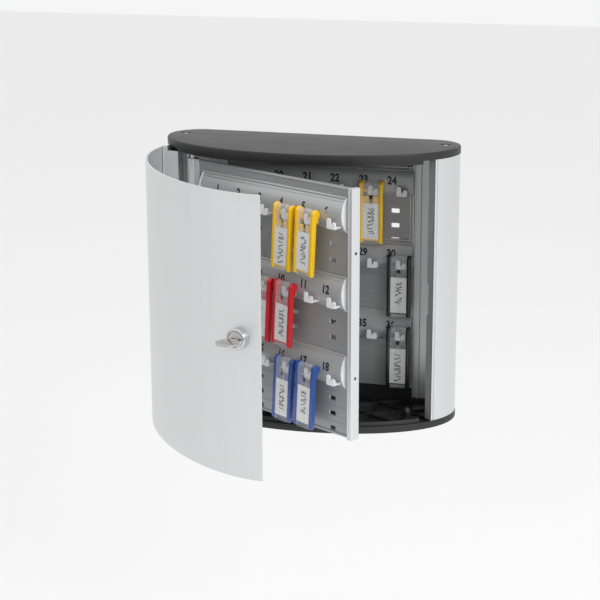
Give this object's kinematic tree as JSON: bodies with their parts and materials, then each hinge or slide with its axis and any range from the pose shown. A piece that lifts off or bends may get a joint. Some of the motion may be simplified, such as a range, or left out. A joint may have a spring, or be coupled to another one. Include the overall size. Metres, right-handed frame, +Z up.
{
  "type": "wall key cabinet",
  "caption": "Wall key cabinet with a D-shaped plan, a curved door with a cam lock, rows of numbered hooks on the back and on a swinging inner panel, and hanging key tags.",
  "frame": {"origin": "on the wall plane at mid width, at the cabinet's underside", "axes": "+X to the right seen from the front, +Y into the wall, +Z up"},
  "size_m": [0.302, 0.3019, 0.28],
  "materials": {
    "anodised": "fine matt anodised",
    "anodised_light": "fine matt anodised, lighter",
    "sheet_grey": "satin grey paint",
    "cap_plastic": "fine grain moulded black",
    "bright_steel": "zinc plated",
    "hook_white": "light satin",
    "lock_chrome": "polished",
    "key_nickel": "nickel plated",
    "tag_clear": "clear plastic",
    "tag_paper": "uncoated card",
    "tag_yellow": "gloss",
    "tag_red": "gloss",
    "tag_blue": "gloss",
    "tag_black": "gloss"
  },
  "bodies": {
    "cabinet": {"back_panel": "sheet_grey", "right_profile": "anodised", "left_profile": "anodised", "top_cap": "cap_plastic", "bottom_cap": "cap_plastic", "cap_screws": "bright_steel", "back_strip_top": "sheet_grey", "back_strip_middle": "sheet_grey", "back_strip_bottom": "sheet_grey", "back_hooks": "hook_white", "door_hinge_pins": "bright_steel", "panel_pivot_pins": "bright_steel", "panel_catches": "cap_plastic", "lock_strike": "bright_steel"},
    "door": {"door_shell": "anodised", "door_hinge_top": "cap_plastic", "door_hinge_bottom": "cap_plastic", "lock_housing": "lock_chrome", "lock_nut": "lock_chrome"},
    "rotor": {"lock_rotor": "lock_chrome", "lock_cam": "bright_steel", "cam_screw": "bright_steel"},
    "key": {"door_key": "key_nickel"},
    "swing_panel": {"swing_plate": "sheet_grey", "swing_hinge_post": "anodised", "swing_end_post": "anodised_light", "swing_strip_top": "sheet_grey", "swing_strip_middle": "sheet_grey", "swing_strip_bottom": "sheet_grey", "swing_hooks": "hook_white"},
    "tag_04": {"tag_04_frame": "tag_yellow", "tag_04_window": "tag_clear", "tag_04_label": "tag_paper"},
    "tag_05": {"tag_05_frame": "tag_yellow", "tag_05_window": "tag_clear", "tag_05_label": "tag_paper"},
    "tag_09": {"tag_09_frame": "tag_red", "tag_09_window": "tag_clear", "tag_09_label": "tag_paper"},
    "tag_10": {"tag_10_frame": "tag_red", "tag_10_window": "tag_clear", "tag_10_label": "tag_paper"},
    "tag_16": {"tag_16_frame": "tag_blue", "tag_16_window": "tag_clear", "tag_16_label": "tag_paper"},
    "tag_17": {"tag_17_frame": "tag_blue", "tag_17_window": "tag_clear", "tag_17_label": "tag_paper"},
    "tag_23": {"tag_23_frame": "tag_yellow", "tag_23_window": "tag_clear", "tag_23_label": "tag_paper"},
    "tag_30": {"tag_30_frame": "tag_black", "tag_30_window": "tag_clear", "tag_30_label": "tag_paper"},
    "tag_36": {"tag_36_frame": "tag_black", "tag_36_window": "tag_clear", "tag_36_label": "tag_paper"}
  },
  "joints": [
    {"name": "door_swing", "type": "hinge", "parent": "cabinet", "child": "door", "pos_m": [-0.1395, -0.0555, 0], "axis": [0, 0, 1], "range_deg": [-64.5, 50.5]},
    {"name": "panel_swing", "type": "hinge", "parent": "cabinet", "child": "swing_panel", "pos_m": [-0.115, -0.066, 0], "axis": [0, 0, 1], "range_deg": [-37.81, 29.6]},
    {"name": "lock_turn", "type": "hinge", "parent": "door", "child": "rotor", "pos_m": [0.00174, -0.27305, 0.141], "axis": [-0.2538, -0.9673, 0], "range_deg": [0, 90]},
    {"name": "key_slide", "type": "slide", "parent": "rotor", "child": "key", "axis": [-0.2538, -0.9673, 0], "range_m": [0, 0.02]},
    {"name": "tag_04_lift", "type": "slide", "parent": "swing_panel", "child": "tag_04", "axis": [0, 0, 1], "range_m": [0, 0.008]},
    {"name": "tag_05_lift", "type": "slide", "parent": "swing_panel", "child": "tag_05", "axis": [0, 0, 1], "range_m": [0, 0.008]},
    {"name": "tag_09_lift", "type": "slide", "parent": "swing_panel", "child": "tag_09", "axis": [0, 0, 1], "range_m": [0, 0.008]},
    {"name": "tag_10_lift", "type": "slide", "parent": "swing_panel", "child": "tag_10", "axis": [0, 0, 1], "range_m": [0, 0.008]},
    {"name": "tag_16_lift", "type": "slide", "parent": "swing_panel", "child": "tag_16", "axis": [0, 0, 1], "range_m": [0, 0.008]},
    {"name": "tag_17_lift", "type": "slide", "parent": "swing_panel", "child": "tag_17", "axis": [0, 0, 1], "range_m": [0, 0.008]},
    {"name": "tag_23_lift", "type": "slide", "parent": "cabinet", "child": "tag_23", "axis": [0, 0, 1], "range_m": [0, 0.008]},
    {"name": "tag_30_lift", "type": "slide", "parent": "cabinet", "child": "tag_30", "axis": [0, 0, 1], "range_m": [0, 0.008]},
    {"name": "tag_36_lift", "type": "slide", "parent": "cabinet", "child": "tag_36", "axis": [0, 0, 1], "range_m": [0, 0.008]}
  ],
  "couplings": [
    {"joint": "panel_swing", "follows": "door_swing", "ratio": 0.586}
  ]
}
